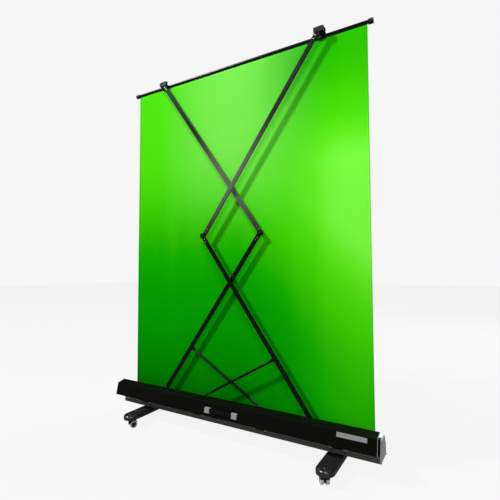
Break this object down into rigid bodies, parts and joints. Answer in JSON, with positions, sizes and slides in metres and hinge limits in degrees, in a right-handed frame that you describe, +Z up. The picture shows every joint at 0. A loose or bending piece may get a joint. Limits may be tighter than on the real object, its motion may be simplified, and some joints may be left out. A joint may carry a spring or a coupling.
{
  "type": "pull-up backdrop panel",
  "caption": "Pull-up chroma-key screen on crossed knee arms with gas springs, rising out of a floor case with a swung-back lid and swivel legs on casters.",
  "frame": {"origin": "on the floor, centred under the case", "axes": "+X along the case, -Y the filmed side of the screen, +Y the side with the arms, +Z up"},
  "size_m": [1.5772, 0.4587, 2.111],
  "materials": {
    "black_aluminium": "satin black anodised",
    "grey_plate": "satin dark grey",
    "black_plastic": "fine matte",
    "black_steel": "satin black paint",
    "bright_steel": "zinc plated",
    "rod_steel": "black nitrided, polished",
    "roller_aluminium": "mill finish",
    "badge": "blank, fine brushed",
    "silver_plastic": "satin silver",
    "screen": "matte knitted polyester, chroma green",
    "webbing": "rubbery woven strap",
    "wheel_grey": "light grey tread"
  },
  "bodies": {
    "case": {"base_tray": "black_aluminium", "end_plate_left": "grey_plate", "end_plate_right": "grey_plate", "end_plug_left": "black_plastic", "end_plug_right": "black_plastic", "end_screws": "bright_steel", "foot_bracket_left": "black_steel", "foot_bracket_right": "black_steel", "foot_pins": "bright_steel", "spring_saddle_left": "bright_steel", "spring_saddle_right": "bright_steel", "roller_brackets": "black_steel", "hinge_leaves": "black_steel", "hinge_pins": "bright_steel", "latch_plates": "bright_steel", "leg_plates": "black_steel", "leg_bolts": "bright_steel", "screen_fabric": "screen"},
    "roller": {"roller_tube": "roller_aluminium", "roller_plugs": "black_plastic", "roller_spring": "bright_steel", "fabric_wrap": "screen"},
    "lid": {"lid_panel": "black_aluminium", "lid_hinge_leaves": "black_steel", "lid_keepers": "bright_steel", "lid_badge": "badge", "handle_caps": "silver_plastic", "handle_strap": "webbing"},
    "latch_left": {"latch_lever_left": "bright_steel"},
    "latch_right": {"latch_lever_right": "bright_steel"},
    "lower_arm_left": {"lower_arm_left": "black_aluminium", "lower_fittings_left": "black_steel", "elbow_pin_left": "bright_steel"},
    "lower_arm_right": {"lower_arm_right": "black_aluminium", "lower_fittings_right": "black_steel", "elbow_pin_right": "bright_steel"},
    "upper_arm_left": {"upper_arm_left": "black_aluminium", "upper_fittings_left": "black_steel"},
    "upper_arm_right": {"upper_arm_right": "black_aluminium", "upper_fittings_right": "black_steel"},
    "spring_cylinder_left": {"spring_cylinder_left": "black_steel"},
    "spring_cylinder_right": {"spring_cylinder_right": "black_steel"},
    "spring_rod_left": {"spring_rod_left": "rod_steel"},
    "spring_rod_right": {"spring_rod_right": "rod_steel"},
    "top_bar": {"top_bar": "black_aluminium", "bar_caps": "black_plastic", "head_brackets": "black_steel", "head_pins": "bright_steel"},
    "leg_left": {"leg_left": "black_plastic"},
    "leg_right": {"leg_right": "black_plastic"},
    "caster_left_front": {"caster_left_front": "black_plastic"},
    "wheels_left_front": {"wheels_left_front": "wheel_grey"},
    "caster_left_rear": {"caster_left_rear": "black_plastic"},
    "wheels_left_rear": {"wheels_left_rear": "wheel_grey"},
    "caster_right_front": {"caster_right_front": "black_plastic"},
    "wheels_right_front": {"wheels_right_front": "wheel_grey"},
    "caster_right_rear": {"caster_right_rear": "black_plastic"},
    "wheels_right_rear": {"wheels_right_rear": "wheel_grey"}
  },
  "joints": [
    {"name": "frame_fold", "type": "hinge", "parent": "case", "child": "lower_arm_right", "pos_m": [0.524, 0.016, 0.117], "axis": [0, -1, 0], "range_deg": [0, 53.9], "deforming": ["screen_fabric"]},
    {"name": "elbow_right", "type": "hinge", "parent": "lower_arm_right", "child": "upper_arm_right", "pos_m": [-0.181, 0.01025, 1.104], "axis": [0, 1, 0], "range_deg": [0, 107.9]},
    {"name": "spring_top_right", "type": "hinge", "parent": "lower_arm_right", "child": "spring_cylinder_right", "pos_m": [0.25744, 0.016, 0.44889], "axis": [0, 1, 0], "range_deg": [0, 83.6]},
    {"name": "spring_stroke_right", "type": "slide", "parent": "spring_cylinder_right", "child": "spring_rod_right", "axis": [0.8676, 0, 0.4973], "range_m": [0, 0.2532]},
    {"name": "foot_hinge_left", "type": "hinge", "parent": "case", "child": "lower_arm_left", "pos_m": [-0.524, 0.039, 0.117], "axis": [0, 1, 0], "range_deg": [0, 54]},
    {"name": "elbow_left", "type": "hinge", "parent": "lower_arm_left", "child": "upper_arm_left", "pos_m": [0.181, 0.03325, 1.104], "axis": [0, -1, 0], "range_deg": [0, 107.9]},
    {"name": "spring_top_left", "type": "hinge", "parent": "lower_arm_left", "child": "spring_cylinder_left", "pos_m": [-0.25744, 0.039, 0.44889], "axis": [0, -1, 0], "range_deg": [0, 83.6]},
    {"name": "spring_stroke_left", "type": "slide", "parent": "spring_cylinder_left", "child": "spring_rod_left", "axis": [-0.8676, 0, 0.4973], "range_m": [0, 0.2532]},
    {"name": "bar_hinge", "type": "hinge", "parent": "upper_arm_right", "child": "top_bar", "pos_m": [0.524, 0.0045, 2.091], "axis": [0, -1, 0], "range_deg": [0, 54]},
    {"name": "roller_wind", "type": "hinge", "parent": "case", "child": "roller", "pos_m": [0, -0.0282, 0.099], "axis": [-1, 0, 0], "range_deg": [0, 7700]},
    {"name": "lid_hinge", "type": "hinge", "parent": "case", "child": "lid", "pos_m": [0, 0.0578, 0.1039], "axis": [1, 0, 0], "range_deg": [0, 5]},
    {"name": "latch_right", "type": "hinge", "parent": "case", "child": "latch_right", "pos_m": [0.43, -0.058, 0.108], "axis": [-1, 0, 0], "range_deg": [0, 170]},
    {"name": "leg_swivel_right", "type": "hinge", "parent": "case", "child": "leg_right", "pos_m": [0.585, 0, 0.0625], "axis": [0, 0, 1], "range_deg": [0, 90]},
    {"name": "caster_swivel_right_front", "type": "hinge", "parent": "leg_right", "child": "caster_right_front", "pos_m": [0.585, -0.19, 0.055], "axis": [0, 0, 1], "continuous": true},
    {"name": "wheel_spin_right_front", "type": "hinge", "parent": "caster_right_front", "child": "wheels_right_front", "pos_m": [0.577, -0.20386, 0.02], "axis": [0.866, -0.5, 0], "continuous": true},
    {"name": "caster_swivel_right_rear", "type": "hinge", "parent": "leg_right", "child": "caster_right_rear", "pos_m": [0.585, 0.19, 0.055], "axis": [0, 0, 1], "continuous": true},
    {"name": "wheel_spin_right_rear", "type": "hinge", "parent": "caster_right_rear", "child": "wheels_right_rear", "pos_m": [0.577, 0.17614, 0.02], "axis": [0.866, -0.5, 0], "continuous": true},
    {"name": "latch_left", "type": "hinge", "parent": "case", "child": "latch_left", "pos_m": [-0.43, -0.058, 0.108], "axis": [-1, 0, 0], "range_deg": [0, 170]},
    {"name": "leg_swivel_left", "type": "hinge", "parent": "case", "child": "leg_left", "pos_m": [-0.585, 0, 0.0625], "axis": [0, 0, -1], "range_deg": [0, 90]},
    {"name": "caster_swivel_left_front", "type": "hinge", "parent": "leg_left", "child": "caster_left_front", "pos_m": [-0.585, -0.19, 0.055], "axis": [0, 0, 1], "continuous": true},
    {"name": "wheel_spin_left_front", "type": "hinge", "parent": "caster_left_front", "child": "wheels_left_front", "pos_m": [-0.577, -0.20386, 0.02], "axis": [-0.866, -0.5, 0], "continuous": true},
    {"name": "caster_swivel_left_rear", "type": "hinge", "parent": "leg_left", "child": "caster_left_rear", "pos_m": [-0.585, 0.19, 0.055], "axis": [0, 0, 1], "continuous": true},
    {"name": "wheel_spin_left_rear", "type": "hinge", "parent": "caster_left_rear", "child": "wheels_left_rear", "pos_m": [-0.577, 0.17614, 0.02], "axis": [-0.866, -0.5, 0], "continuous": true}
  ],
  "couplings": [
    {"joint": "elbow_right", "follows": "frame_fold", "ratio": 2},
    {"joint": "spring_top_right", "follows": "frame_fold", "ratio": 1.5482},
    {"joint": "spring_stroke_right", "follows": "frame_fold", "m_per_rad": 0.26881},
    {"joint": "foot_hinge_left", "follows": "frame_fold", "ratio": 1},
    {"joint": "elbow_left", "follows": "frame_fold", "ratio": 2},
    {"joint": "spring_top_left", "follows": "frame_fold", "ratio": 1.5482},
    {"joint": "spring_stroke_left", "follows": "frame_fold", "m_per_rad": 0.26881},
    {"joint": "bar_hinge", "follows": "frame_fold", "ratio": 1},
    {"joint": "roller_wind", "follows": "frame_fold", "ratio": 142}
  ]
}
